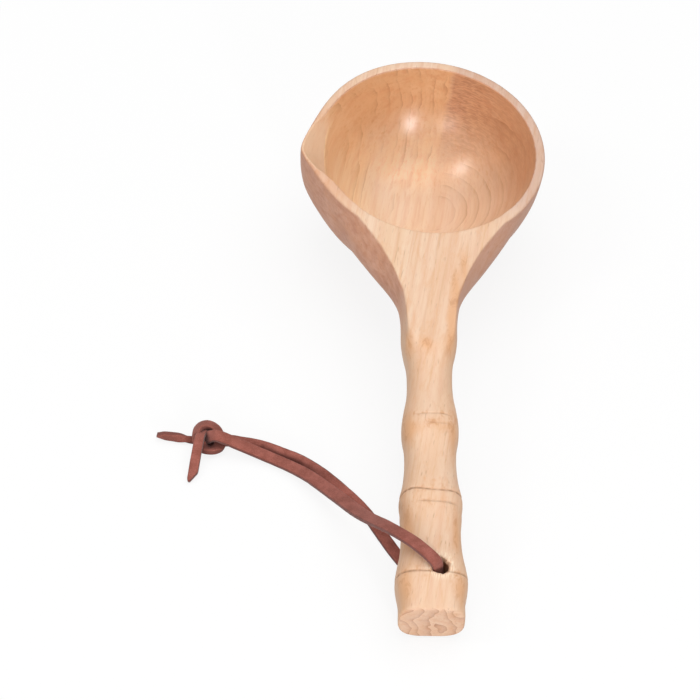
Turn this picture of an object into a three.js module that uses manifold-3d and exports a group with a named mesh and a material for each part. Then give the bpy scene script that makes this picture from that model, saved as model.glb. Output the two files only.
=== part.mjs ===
// Carved wooden ladle with a pouring lip, a bamboo-shaped handle and a knotted leather thong.
// Millimetres. The ladle lies as it does on a table, +Z up, handle towards -Y, lip towards -X.
import * as THREE from 'three';
import { mergeVertices } from 'three/addons/utils/BufferGeometryUtils.js';
import Module from 'manifold-3d';

const wasm = await Module();
wasm.setup();

// Bowl, measured from the middle of its rim
const RIM_RADIUS = 50;
const RIM_WALL = 4.2;
const RIM_EXTRA = 0.9;
const RIM_ROUND = 1.8;
const BOWL_HEIGHT = 52;
const BOWL_INSIDE = 46;
const INSIDE_END = THREE.MathUtils.degToRad(83);
const BELLY = 2.6;
const FOOT_RADIUS = 17;
const AROUND = 72;
const RINGS_INSIDE = 11;
const RINGS_OUTSIDE = 12;
const RINGS_ROUND = 3;

// Pouring lip on the left of the bowl
const LIP_ANGLE = THREE.MathUtils.degToRad(184);
const LIP_SPREAD = THREE.MathUtils.degToRad(18);
const LIP_REACH = 9.2;
const LIP_WALL = 1.0;
const LIP_START = 41;
const LIP_TIP = 55;
const LIP_POWER = 1.08;
const LIP_RINGS = 7;
const LIP_AROUND = 36;

// Handle
const HANDLE_START = -20;
const HANDLE_END = -224;
const END_EDGE = 0.8;
const HOLE = { x: 2.8, y: -205, radius: 3.75 };
const SECTION_POINTS = 40;
const SECTION_STEP = 4;

// The top face leans to the right by this slope, about a line at this height, and fades below it
const TOP_SLOPE = 0.076;
const LEAN_HEIGHT = -10;
const LEAN_FADE = 20;
const LEAN_NECK = { from: -150, to: -90 };

// Half width of the neck and handle from the bowl to the end
const WIDTH = [
  [-20, 43], [-28, 40.8], [-36, 36.6], [-42, 33.1], [-49, 28.8], [-56, 24.4], [-63, 19.7],
  [-70, 15.6], [-76, 13.2], [-82, 12.1], [-88, 11.7], [-95, 11.6], [-101, 10.8], [-107, 9.6],
  [-115, 9.15], [-124, 9.6], [-131, 10.8], [-138, 11.55], [-142, 11.4], [-147, 10.6],
  [-153, 10.35], [-160, 10.65], [-166, 11.4], [-170.6, 12.4], [-173.5, 12.6], [-176.4, 12.2],
  [-179, 12.2], [-184, 11.8], [-190, 11.8], [-197, 12.4], [-203, 13.5], [-208, 14.15],
  [-212, 13.75], [-216, 13], [-224, 12.85],
];
// Half width of the flat land on the neck, and the height and bow of the flanks below it
const LAND = [
  [-20, 46], [-28.5, 39.4], [-32.7, 36], [-36.7, 32.8], [-41.3, 29.4], [-46, 26.1], [-50.5, 23.2],
  [-54.1, 21], [-58.4, 18.9], [-63.1, 16.7], [-66.6, 15.3], [-71.5, 13.6], [-77.9, 11.7], [-83.3, 10.8],
  [-89, 10.2], [-95, 9.8], [-99, 9.7], [-102, 10.1], [-105, 11.2], [-108, 13],
];
const FLANK_HEIGHT = 12;
const FLANK_BOW = 0.35;
const FLANK_POINTS = 5;
const FLANK_CLEAR = 0.1;
const FLANK_REACH = 30;
// Height of the crown before the flat land is cut, and of the underside
const CROWN = [
  [-20, 12], [-36, 8], [-49, 7], [-63, 6.5], [-72, 6.5], [-82, 6.2], [-90, 5.8], [-96, 4.4], [-100, 2],
  [-103, 0.2], [-106, -0.8], [-115, -1.8], [-127, -1.4], [-138, -0.6], [-153, -1.7], [-172, -0.5],
  [-187, -1.3], [-208, 0], [-224, -1.1],
];
const UNDERSIDE = [
  [-20, -46], [-30, -42.5], [-40, -36.5], [-50, -31], [-60, -27], [-70, -24.4], [-82, -22.8],
  [-100, -22], [-115, -21.4], [-138, -22.6], [-153, -22.1], [-172, -23.2], [-188, -22.9],
  [-208, -23.7], [-224, -23.9],
];
// Height at which the section is widest, and how square the section is
const WAIST = [[-20, 0], [-36, -3], [-49, -7], [-60, -8.8], [-80, -9.3], [-105, -11], [-224, -12.4]];
const SQUARE = [[-20, 2.6], [-60, 2.7], [-76, 2.55], [-100, 2.6], [-190, 2.7], [-212, 2.9], [-224, 3.2]];

// Ring grooves on the bamboo nodes: place, depth, and the part of the ring that they cover
const GROOVES = [
  { y: -136, depth: 0.45, from: -0.62, to: 0.72 },
  { y: -140.3, depth: 0.35, from: -0.3, to: 0.72 },
  { y: -171, depth: 0.6, from: -2, to: 2 },
  { y: -176.6, depth: 0.4, from: -0.55, to: 0.95 },
  { y: -207.8, depth: 0.5, from: -2, to: 2 },
];
const GROOVE_HALF = 0.7;
const GROOVE_CLEAR = 0.6;
const GROOVE_LOWEST = -0.75;

// Leather thong, a flat strip
const THONG_WIDTH = 5;
const THONG_THICK = 1.8;
const THONG_BEVEL = 0.4;
const THONG_GAP = 0.35;

// Route of the loop on the table: from the knot to under the handle, up the hole, and back over the flank
const LOOP_ROUTE = [
  [-82, -37, 1.1], [-75.7, -37.5, 1.1], [-69, -38.8, 1.1], [-62.3, -40.8, 1.1], [-56.9, -43, 1.1],
  [-51.1, -45.6, 1.1], [-45.6, -48.9, 1.1], [-39.8, -53.5, 1.1], [-35.2, -58.2, 1.1], [-30.6, -63.6, 1.1],
  [-26.9, -68.4, 1.1], [-21.6, -76.3, 1.1], [-16, -86, 1.1], [-10, -96, 1.1], [-4.6, -103.4, 1.1],
  [0.6, -109.5, 1.1], [3, -112.3, 1.25], [4.6, -114, 2.4], [5.4, -114.9, 4.8], [5.4, -115.6, 10],
  [5.4, -116.3, 15], [5.4, -117, 20], [5.4, -117.7, 25.2], [4.9, -117.6, 27.6], [3.2, -116.7, 29.2],
  [0.9, -115, 29.9], [-4, -110.8, 30], [-10.1, -105.6, 28.9], [-15.4, -99.7, 25.9],
  [-21.4, -91.8, 20.1], [-26.6, -83.8, 14.6], [-32.1, -75.4, 10.3], [-39.5, -65.5, 6.3], [-47, -57.2, 3.9],
  [-54.5, -51.4, 2.6], [-62, -47.2, 2.4], [-66.4, -45.3, 2.9], [-70.8, -43.7, 3.8], [-76, -42.3, 5.4],
  [-81.6, -41, 7.6],
];
// Shares of the loop's length at which it enters the knot, lies on the table, and crosses the hole
const LOWER_END = 0.432;
const BORE_END = 0.594;

// Knot: one upright turn of the strip, a packed middle, and the strand that dives through it
const KNOT = { x: -89, y: -37.3, z: 3.6, radius: 5.6, tilt: 1.2, height: 4.6 };
const KNOT_CORE = { radius: 5.3, half: 2.6 };
const KNOT_START = -28;
const KNOT_SWEEP = 318;
const KNOT_POINTS = 12;
const KNOT_ENTRY = [
  [-82, -40.9, 7.7], [-84.4, -40.2, 7.8], [-86.8, -39.1, 6.6], [-88.8, -38.1, 4.8], [-90.8, -37.3, 3.2],
];

// The two cut ends of the thong
const TAIL_WIDTH = 4.2;
const LEFT_TAIL = [
  [-96.2, -37, 2.3], [-99.3, -36.6, 2.3], [-102.6, -36.2, 2.3], [-106, -35.7, 2.3], [-109.8, -35, 2.2],
];
const DOWN_TAIL = [
  [-91, -36.2, 8.6], [-91.6, -40.3, 8.4], [-92.2, -44.2, 7.2], [-92.8, -48.2, 4.9], [-93.4, -52.6, 2.8],
  [-94.1, -58.6, 1.4],
];

// Smooth curve through hand-set stations that run towards -Y
function along(stations, y) {
  let i = 0;
  while (i < stations.length - 2 && y < stations[i + 1][0]) i += 1;
  const slope = (k) => {
    const a = stations[Math.max(k - 1, 0)];
    const b = stations[Math.min(k + 1, stations.length - 1)];
    return (b[1] - a[1]) / (b[0] - a[0]);
  };
  const [y0, v0] = stations[i];
  const [y1, v1] = stations[i + 1];
  const step = y1 - y0;
  const t = THREE.MathUtils.clamp((y - y0) / step, 0, 1);
  const bend0 = slope(i) * step;
  const bend1 = slope(i + 1) * step;
  const t2 = t * t;
  const t3 = t2 * t;
  const atStart = v0 * (2 * t3 - 3 * t2 + 1) + bend0 * (t3 - 2 * t2 + t);
  const atEnd = v1 * (3 * t2 - 2 * t3) + bend1 * (t3 - t2);
  return atStart + atEnd;
}

// Closed skin over a row of rings with the same number of points
function loft(rings) {
  const count = rings[0].length;
  const positions = [];
  const index = [];
  for (const ring of rings) {
    for (const p of ring) positions.push(p.x, p.y, p.z);
  }
  for (let i = 0; i < rings.length - 1; i += 1) {
    for (let j = 0; j < count; j += 1) {
      const a = i * count + j;
      const b = i * count + ((j + 1) % count);
      index.push(a, b, b + count, a, b + count, a + count);
    }
  }
  const last = (rings.length - 1) * count;
  for (let j = 1; j < count - 1; j += 1) {
    index.push(0, j + 1, j);
    index.push(last, last + j, last + j + 1);
  }
  const geometry = new THREE.BufferGeometry();
  geometry.setAttribute('position', new THREE.Float32BufferAttribute(positions, 3));
  geometry.setIndex(index);
  return geometry;
}

function toSolid(geometry) {
  const bare = new THREE.BufferGeometry();
  bare.setAttribute('position', geometry.getAttribute('position').clone());
  if (geometry.index) bare.setIndex(geometry.index.clone());
  const merged = mergeVertices(bare, 1e-4);
  const mesh = new wasm.Mesh({
    numProp: 3,
    vertProperties: new Float32Array(merged.getAttribute('position').array),
    triVerts: new Uint32Array(merged.index.array),
  });
  mesh.merge();
  return new wasm.Manifold(mesh);
}

function toGeometry(solid) {
  const mesh = solid.getMesh();
  const geometry = new THREE.BufferGeometry();
  geometry.setAttribute('position', new THREE.Float32BufferAttribute(mesh.vertProperties, 3));
  geometry.setIndex(Array.from(mesh.triVerts));
  return geometry;
}

// Angle around the bowl from the lip, counted in spreads of the lip
function fromLip(angle) {
  const turn = Math.atan2(Math.sin(angle - LIP_ANGLE), Math.cos(angle - LIP_ANGLE));
  return turn / LIP_SPREAD;
}

// How far the lip reaches out at an angle around the bowl, from 0 to 1
function lipShape(angle) {
  return Math.exp(-(Math.abs(fromLip(angle)) ** 1.5));
}

// The rim is thin at the lip and a little thicker on the far side of it
function rimWall(angle) {
  const turn = fromLip(angle);
  const thinner = (RIM_WALL - LIP_WALL) * Math.exp(-((turn / 1.2) ** 2));
  const thicker = RIM_EXTRA * Math.exp(-(((turn + 3) / 1.6) ** 2));
  return RIM_WALL + thicker - thinner;
}

function ring(count, point) {
  return Array.from({ length: count }, (_, j) => point((2 * Math.PI * j) / count));
}

// Outside of the bowl: foot, belly, rounded rim edge and flat rim
function bowlOutside() {
  const inside = RIM_RADIUS - RIM_WALL;
  const footTurn = Math.acos((FOOT_RADIUS / RIM_RADIUS) ** (BELLY / 2));
  const reach = (BOWL_HEIGHT - RIM_ROUND) / Math.sin(footTurn) ** (2 / BELLY);
  const profile = [];
  for (let i = 0; i <= RINGS_OUTSIDE; i += 1) {
    const turn = footTurn * (1 - i / RINGS_OUTSIDE);
    const radius = RIM_RADIUS * Math.cos(turn) ** (2 / BELLY);
    profile.push([radius, -RIM_ROUND - reach * Math.sin(turn) ** (2 / BELLY)]);
  }
  for (let i = 1; i <= RINGS_ROUND; i += 1) {
    const turn = (Math.PI / 2) * (i / RINGS_ROUND);
    profile.push([RIM_RADIUS - RIM_ROUND * (1 - Math.cos(turn)), -RIM_ROUND * (1 - Math.sin(turn))]);
  }
  return loft(profile.map(([r, z]) => ring(AROUND, (angle) => {
    const bulge = inside + LIP_REACH * lipShape(angle) + rimWall(angle) - RIM_RADIUS;
    const fade = 1 - (z / BOWL_HEIGHT) ** 2;
    const radius = r + bulge * fade;
    return new THREE.Vector3(radius * Math.cos(angle), radius * Math.sin(angle), z);
  })));
}

function bowlInside() {
  const inside = RIM_RADIUS - RIM_WALL;
  const profile = [];
  for (let i = 0; i <= RINGS_INSIDE; i += 1) {
    const turn = INSIDE_END * (1 - i / RINGS_INSIDE);
    profile.push([inside * Math.cos(turn), -BOWL_INSIDE * Math.sin(turn)]);
  }
  profile.push([inside, RIM_WALL]);
  return loft(profile.map(([r, z]) => ring(AROUND, (angle) => {
    return new THREE.Vector3(r * Math.cos(angle), r * Math.sin(angle), z);
  })));
}

// Pointed groove that leads from the bowl's wall to the lip
function lipGroove() {
  const start = Math.sqrt((RIM_RADIUS - RIM_WALL) ** 2 - LIP_START ** 2);
  const back = LIP_START - start / 3;
  const profile = [new THREE.Vector2(0, back), new THREE.Vector2(start, back)];
  for (let i = 0; i < LIP_RINGS; i += 1) {
    const share = i / LIP_RINGS;
    const out = LIP_START + (LIP_TIP - LIP_START) * share;
    profile.push(new THREE.Vector2(start * (1 - share ** LIP_POWER), out));
  }
  profile.push(new THREE.Vector2(0, LIP_TIP));
  const groove = new THREE.LatheGeometry(profile, LIP_AROUND);
  groove.rotateZ(LIP_ANGLE - Math.PI / 2);
  return groove;
}

function grooveDepth(y, side) {
  let depth = 0;
  for (const groove of GROOVES) {
    const near = 1 - Math.abs(y - groove.y) / GROOVE_HALF;
    if (near > 0.01 && side > groove.from && side < groove.to) depth = groove.depth * near;
  }
  return depth;
}

// One section of the neck and handle
function section(y, shrink) {
  const width = along(WIDTH, y) - shrink;
  const waist = along(WAIST, y);
  const crown = along(CROWN, y) - shrink;
  const under = along(UNDERSIDE, y) + shrink;
  const power = 2 / along(SQUARE, y);
  return ring(SECTION_POINTS, (t) => {
    const cos = Math.cos(t);
    const sin = Math.sin(t);
    const height = sin > 0 ? crown - waist : waist - under;
    const cut = sin > GROOVE_LOWEST ? grooveDepth(y, cos) : 0;
    const x = (width - cut) * Math.sign(cos) * Math.abs(cos) ** power;
    const z = waist + (height - cut) * Math.sign(sin) * Math.abs(sin) ** power;
    return new THREE.Vector3(x, y, z);
  });
}

function handle() {
  const places = [];
  for (let y = HANDLE_START; y > HANDLE_END + SECTION_STEP / 2; y -= SECTION_STEP) places.push(y);
  for (const groove of GROOVES) places.push(groove.y - GROOVE_HALF, groove.y, groove.y + GROOVE_HALF);
  places.sort((a, b) => b - a);
  const kept = places.filter((y) => {
    const near = GROOVES.some((g) => Math.abs(Math.abs(y - g.y) - GROOVE_HALF) < 1e-6 || y === g.y);
    return near || GROOVES.every((g) => Math.abs(y - g.y) > GROOVE_HALF + GROOVE_CLEAR);
  });
  const rings = kept.map((y) => section(y, 0));
  rings.push(section(HANDLE_END + END_EDGE, 0), section(HANDLE_END, END_EDGE));
  return loft(rings);
}

// What is carved away beside the land, so that its edge is crisp and the flank spreads below it
function besideLand(side) {
  const rings = LAND.map(([y, half]) => {
    const spread = Math.max(0, along(WIDTH, y) - half) + FLANK_CLEAR;
    const points = [];
    for (let i = 0; i <= FLANK_POINTS; i += 1) {
      const depth = i / FLANK_POINTS;
      const out = half + spread * depth * (1 + FLANK_BOW - FLANK_BOW * depth);
      points.push(new THREE.Vector3(side * out, y, -FLANK_HEIGHT * depth));
    }
    points.push(new THREE.Vector3(side * (half + FLANK_REACH), y, -FLANK_HEIGHT));
    points.push(new THREE.Vector3(side * (half + FLANK_REACH), y, FLANK_HEIGHT));
    points.push(new THREE.Vector3(side * half, y, FLANK_HEIGHT));
    return side > 0 ? points : points.reverse();
  });
  return loft(rings);
}

// The top face leans a little to the right while the underside stays level
function lean(geometry) {
  const position = geometry.getAttribute('position');
  for (let i = 0; i < position.count; i += 1) {
    const x = position.getX(i);
    const z = position.getZ(i);
    const share = THREE.MathUtils.clamp(1 + z / LEAN_FADE, 0, 1);
    const bowlShare = THREE.MathUtils.smoothstep(position.getY(i), LEAN_NECK.from, LEAN_NECK.to);
    const level = z - LEAN_HEIGHT;
    position.setX(i, x + TOP_SLOPE * (level > 0 ? level : level * bowlShare));
    position.setZ(i, z - TOP_SLOPE * x * share);
  }
  return geometry;
}

function ladleBody() {
  const above = new THREE.BoxGeometry(4 * RIM_RADIUS, -2 * HANDLE_END, BOWL_HEIGHT);
  above.translate(0, HANDLE_END / 2, BOWL_HEIGHT / 2);
  const bore = new THREE.CylinderGeometry(HOLE.radius, HOLE.radius, 2 * BOWL_HEIGHT, 32);
  bore.rotateX(Math.PI / 2);
  bore.translate(HOLE.x, HOLE.y, 0);
  let neck = toSolid(handle()).subtract(toSolid(above));
  for (const side of [-1, 1]) neck = neck.subtract(toSolid(besideLand(side)));
  const hollow = toSolid(bowlInside()).add(toSolid(lipGroove()));
  const solid = toSolid(bowlOutside()).add(neck).subtract(hollow).subtract(toSolid(bore));
  return lean(toGeometry(solid));
}

// Flat strip along a curve, lying flat where the curve starts level, or standing on its edge
function strip(curve, steps, across, up) {
  const x = up / 2;
  const y = across / 2;
  const outline = new THREE.Shape([
    new THREE.Vector2(x, y - THONG_BEVEL),
    new THREE.Vector2(x - THONG_BEVEL, y),
    new THREE.Vector2(THONG_BEVEL - x, y),
    new THREE.Vector2(-x, y - THONG_BEVEL),
    new THREE.Vector2(-x, THONG_BEVEL - y),
    new THREE.Vector2(THONG_BEVEL - x, -y),
    new THREE.Vector2(x - THONG_BEVEL, -y),
    new THREE.Vector2(x, THONG_BEVEL - y),
  ]);
  return new THREE.ExtrudeGeometry(outline, { steps, extrudePath: curve });
}

function curveThrough(points) {
  return new THREE.CatmullRomCurve3(points.map((p) => new THREE.Vector3(...p)));
}

// Part of a curve between two shares of its length
class Stretch extends THREE.Curve {
  constructor(whole, from, to) {
    super();
    this.whole = whole;
    this.from = from;
    this.to = to;
  }

  getPoint(t, target = new THREE.Vector3()) {
    return this.whole.getPointAt(this.from + (this.to - this.from) * t, target);
  }
}

function knotTurn() {
  const points = [];
  for (let i = 0; i <= KNOT_POINTS; i += 1) {
    const angle = THREE.MathUtils.degToRad(KNOT_START - (KNOT_SWEEP * i) / KNOT_POINTS);
    const x = KNOT.x + KNOT.radius * Math.cos(angle);
    const y = KNOT.y + KNOT.radius * Math.sin(angle);
    points.push([x, y, KNOT.z + KNOT.tilt * Math.sin(angle)]);
  }
  return curveThrough(points);
}

function knotShape() {
  const packed = new THREE.SphereGeometry(1, 16, 10);
  packed.scale(KNOT_CORE.radius, KNOT_CORE.radius, KNOT_CORE.half);
  packed.translate(KNOT.x, KNOT.y, KNOT.z);
  const turn = toSolid(strip(knotTurn(), 24, THONG_THICK, KNOT.height));
  const entry = toSolid(strip(curveThrough(KNOT_ENTRY), 8, THONG_WIDTH, THONG_THICK));
  return toGeometry(turn.add(toSolid(packed)).add(entry));
}

const wood = new THREE.MeshStandardMaterial({ color: 0xd9b48f, roughness: 0.5, metalness: 0 });
const leather = new THREE.MeshStandardMaterial({ color: 0x98584e, roughness: 0.9, metalness: 0 });

function piece(name, geometry, material) {
  const mesh = new THREE.Mesh(geometry, material);
  mesh.name = name;
  return mesh;
}

// Lies on the edge of its foot and on the end of the handle
const END_HEIGHT = BOWL_HEIGHT + along(UNDERSIDE, HANDLE_END + END_EDGE);
const REST_TILT = Math.atan(END_HEIGHT / (-HANDLE_END - FOOT_RADIUS));
const ladle = new THREE.Group();
ladle.name = 'ladle';
ladle.rotation.x = REST_TILT;
ladle.add(piece('ladle_body', ladleBody(), wood));
ladle.updateMatrixWorld(true);
const box = new THREE.Box3().setFromObject(ladle, true);
const middle = box.getCenter(new THREE.Vector3());
ladle.position.set(-middle.x, -middle.y, -box.min.z);

const loop = curveThrough(LOOP_ROUTE);
const gap = THONG_GAP / loop.getLength();
const lower = new Stretch(loop, 0, LOWER_END);
const bore = new Stretch(loop, LOWER_END + gap, BORE_END);
const upper = new Stretch(loop, BORE_END + gap, 1);
const thong = new THREE.Group();
thong.name = 'thong';
thong.add(piece('thong_lower_strand', strip(lower, 18, THONG_WIDTH, THONG_THICK), leather));
thong.add(piece('thong_bore', strip(bore, 24, THONG_WIDTH, THONG_THICK), leather));
thong.add(piece('thong_upper_strand', strip(upper, 22, THONG_WIDTH, THONG_THICK), leather));
thong.add(piece('thong_knot', knotShape(), leather));
thong.add(piece('thong_tail_left', strip(curveThrough(LEFT_TAIL), 5, THONG_THICK, TAIL_WIDTH), leather));
thong.add(piece('thong_tail_down', strip(curveThrough(DOWN_TAIL), 7, TAIL_WIDTH, THONG_THICK), leather));

const group = new THREE.Group();
group.name = 'wooden_ladle';
group.add(ladle, thong);

export default group;
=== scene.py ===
"""Looks of a carved wooden ladle with a knotted leather thong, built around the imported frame."""
import math

import bmesh
import bpy
import numpy as np
from mathutils import Matrix, Vector, noise
from mathutils.bvhtree import BVHTree


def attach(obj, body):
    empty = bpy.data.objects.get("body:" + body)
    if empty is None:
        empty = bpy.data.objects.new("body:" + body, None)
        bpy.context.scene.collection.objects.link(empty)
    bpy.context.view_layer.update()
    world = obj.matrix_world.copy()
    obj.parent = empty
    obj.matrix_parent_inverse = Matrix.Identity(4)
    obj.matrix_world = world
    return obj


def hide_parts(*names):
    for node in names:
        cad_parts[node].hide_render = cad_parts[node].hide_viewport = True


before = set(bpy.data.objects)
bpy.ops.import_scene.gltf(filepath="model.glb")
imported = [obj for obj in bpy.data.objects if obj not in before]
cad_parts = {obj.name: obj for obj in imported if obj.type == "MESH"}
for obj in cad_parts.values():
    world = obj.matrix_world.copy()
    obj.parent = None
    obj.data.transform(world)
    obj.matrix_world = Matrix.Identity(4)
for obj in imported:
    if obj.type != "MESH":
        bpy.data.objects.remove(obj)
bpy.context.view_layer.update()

MM = 0.001

# Camera, as the photograph was taken
CAMERA_PLACE = Vector((-0.0229, -0.6268, 0.7045))
CAMERA_ELEVATION = math.radians(47.64)
CAMERA_AZIMUTH = math.radians(0.69)
CAMERA_ROLL = math.radians(0.11)
CAMERA_LENS = 114.12
SENSOR = 36.0

# The ladle's own frame is in millimetres from the middle of its rim: rim level, handle along -Y

# Bowl
RIM_RADIUS = 50.0
RIM_WALL = 4.2
RIM_ROUND = 0.9
BOWL_HEIGHT = 52.0
BOWL_INSIDE = 46.0
INSIDE_END = math.radians(86)
BELLY = 2.6
FOOT_RADIUS = 17.0
LIP_ANGLE = math.radians(184)
LIP_SPREAD = math.radians(18)
LIP_REACH = 9.2
LIP_POWER = 1.5
LIP_WALL = 1.0
LIP_THIN = 1.2

# Thicker stretch of the rim: by how much, and its place and spread, counted in spreads of the lip
RIM_EXTRA = {"by": 0.9, "place": -3.0, "spread": 1.6}

# Inner edge of the rim around the pouring lip: degrees from the lip's middle, radius, depth of the hollow
LIP_HOLLOW = (
    (-135, 45.6, 3.0), (-110, 45.9, 6.0), (-90, 46.3, 8.0), (-60, 46.8, 9.0), (-48, 47.1, 8.5),
    (-36, 47.4, 7.5), (-30, 47.7, 7.0), (-24, 48.4, 6.5), (-18, 49.9, 7.0), (-15, 51.2, 7.4),
    (-12, 52.5, 8.0), (-6, 54.1, 9.2), (0, 55.2, 9.6), (6, 53.5, 9.2), (12, 51.0, 8.0), (18, 48.2, 6.4),
    (24, 46.6, 4.6), (30, 45.9, 3.0), (36, 45.6, 2.5),
)

# Handle
HANDLE_START = -20.0
HANDLE_END = -224.0
END_EDGE = 0.8
HOLE = {"x": 2.5, "y": -205.0, "radius": 3.45}
TOP_SLOPE = 0.076
LEAN_HEIGHT = -10.0
LEAN_FADE = 20.0
LEAN_NECK = (-150.0, -90.0)

# Tools that drill the hole and wear its upper edge: height and radius of both ends
BORE_ENDS = ((-BOWL_HEIGHT, HOLE["radius"]), (BOWL_HEIGHT, HOLE["radius"]))
MOUTH_ENDS = ((-3.0, 3.35), (2.2, 4.35))

# The ladle lies on the edge of its foot and on the lower edge of its handle's end
END_DROP = 23.88
REST_TILT = math.atan((BOWL_HEIGHT - END_DROP) / (-HANDLE_END - FOOT_RADIUS))
REST_PLACE = Vector((2.330, 85.303, 53.815))

# Stations along the neck and handle: place, and half width, height or power of the section
WIDTH = (
    (-20, 43), (-28, 40.8), (-36, 36.6), (-42, 33.1), (-49, 28.8), (-56, 24.4), (-63, 19.7),
    (-70, 15.6), (-76, 13.2), (-82, 12.1), (-88, 11.7), (-95, 11.6), (-101, 10.8), (-107, 9.6),
    (-115, 9.15), (-124, 9.6), (-131, 10.8), (-138, 11.55), (-142, 11.4), (-147, 10.6),
    (-153, 10.35), (-160, 10.65), (-166, 11.4), (-170.6, 12.4), (-173.5, 12.6), (-176.4, 12.2),
    (-179, 12.2), (-184, 11.8), (-190, 11.8), (-197, 12.4), (-203, 13.5), (-208, 14.15),
    (-212, 13.75), (-216, 13), (-224, 12.85),
)
CROWN = (
    (-20, 12), (-36, 8), (-49, 7), (-63, 6.5), (-72, 6.5), (-82, 6.2), (-90, 5.8), (-96, 4.4),
    (-100, 2), (-103, 0.2), (-106, -0.8), (-115, -1.8), (-127, -1.4), (-138, -0.6), (-153, -1.7),
    (-172, -0.5), (-187, -1.3), (-208, 0), (-224, -1.1),
)
UNDERSIDE = (
    (-20, -46), (-30, -42.5), (-40, -36.5), (-50, -31), (-60, -27), (-70, -24.4), (-82, -22.8),
    (-100, -22), (-115, -21.4), (-138, -22.6), (-153, -22.1), (-172, -23.2), (-188, -22.9),
    (-208, -23.7), (-224, -23.9),
)
WAIST = ((-20, 0), (-36, -3), (-49, -7), (-60, -8.8), (-80, -9.3), (-105, -11), (-224, -12.4))
SQUARE = ((-20, 2.6), (-60, 2.7), (-76, 2.55), (-100, 2.6), (-190, 2.7), (-212, 2.9), (-224, 3.2))

# Half width of the flat land on the neck, and the height and bow of the flanks below it
LAND = (
    (-20, 46), (-28.5, 39.4), (-32.7, 36), (-36.7, 32.8), (-41.3, 29.4), (-46, 26.1), (-50.5, 23.2),
    (-54.1, 21), (-58.4, 18.9), (-63.1, 16.7), (-66.6, 15.3), (-71.5, 13.6), (-77.9, 11.7), (-83.3, 10.8),
    (-89, 10.2), (-95, 9.8), (-99, 9.7), (-102, 10.1), (-105, 11.2), (-108, 13),
)
FLANK_HEIGHT = 12.0
FLANK_BOW = 0.35
FLANK_CLEAR = 0.1
FLANK_REACH = 30.0

# Size of the voxels that join the parts, and where the joined mesh is smoothed and refined
VOXEL = 0.6
NECK = {"y": -42.0, "reach": 30.0, "from": -4.0, "to": -9.0, "radius": 41.0}
LAND_END = {"y": -105.0, "reach": 9.8, "core": 2.8, "from": -4.0, "to": -1.0}
FINE_MESH = {"groove": 1.9, "hole": 2.0, "lowest": -5.0}

# Cut lines on the bamboo nodes: place, depth, darkness of the painted shade in the line, part of the ring,
# and how far the line wanders
GROOVES = (
    {"y": -136.0, "depth": 0.40, "dark": 0.4, "from": -0.62, "to": 0.72, "wander": 0.5},
    {"y": -140.3, "depth": 0.22, "dark": 0.3, "from": -0.30, "to": 0.72, "wander": 0.3},
    {"y": -171.0, "depth": 0.60, "dark": 0.95, "from": -2.0, "to": 2.0, "wander": 0.7},
    {"y": -176.6, "depth": 0.35, "dark": 0.6, "from": -0.55, "to": 0.85, "wander": 0.3},
    {"y": -207.8, "depth": 0.45, "dark": 0.85, "from": -2.0, "to": 2.0, "wander": 0.6},
)
GROOVE_HALF = 0.45
GROOVE_REACH = 2.2
GROOVE_LOWEST = -17.0
WANDER_SCALE = 0.12
WANDER_STEP = 7.3

# Chips in the upper edge of the hole
CHIP = {"depth": 0.7, "half": 0.9, "reach": 1.6, "lowest": -3.0, "scale": 0.55, "fine_scale": 1.3}

# Stains in the wood, in the ladle's own frame: place, size, strength
STAINS = (
    ((-1.6, -102, -0.4), (3.6, 4.2, 5), 1.0),
    ((-0.6, -104, -0.6), (8, 6, 5), 0.5),
    ((14.2, -62, -1), (3.0, 15, 6), 1.0),
    ((10.8, -75, -1), (3.6, 18, 6), 1.3),
    ((8.8, -91, -1), (3.4, 18, 6), 1.3),
    ((8, -102, -3), (5.5, 10, 8), 0.8),
    ((-8.5, -102, -3), (4, 10, 8), 1.0),
    ((-6.5, -90, 0), (1.0, 7, 4), 0.5),
    ((-5.5, -143, -1), (7, 5, 6), 0.65),
    ((3, -141, -1), (8, 5, 6), 0.4),
    ((9.4, -146, -4), (4, 14, 9), 1.2),
    ((-9, -142, -4), (4.4, 12, 9), 1.3),
    ((-2.6, -166.6, -0.6), (1.0, 2.2, 4), 0.8),
    ((1.2, -167.4, -0.6), (1.6, 1.4, 4), 0.6),
    ((3.4, -166.2, -0.6), (0.9, 1.6, 4), 0.5),
    ((-9.5, -187, -4), (4.5, 16, 9), 1.3),
    ((9.8, -190, -4), (3, 16, 9), 1.2),
    ((-10, -214, -4), (5, 12, 9), 1.3),
    ((11, -214, -4), (5, 10, 9), 1.2),
    ((-7, -218.5, -3), (0.9, 3.5, 5), 0.6),
)

# Line where the wood turns darker, to the right of the bowl's middle, with its slant along y and z
TONE_LINE = 5.6
TONE_SLANT = 0.145
TONE_TILT = 0.10
TONE_WANDER = 5.0
TONE_SOFT = 1.8

# Grain: its turn from the handle, the heart that the rings go round, and the arcs in the darker wood
GRAIN_TURN = math.radians(8.5)
HEART = (-95.0, -22.0)
RING_STEP = 5.2
RING_WARP = 9.0
RING_RIPPLE = 2.0
END_CURVE = 16.0
ARC_MIDDLE = (2.9, -0.7)
ARC_SPOT = ((19, -3, -40), (15, 22, 24))

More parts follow.
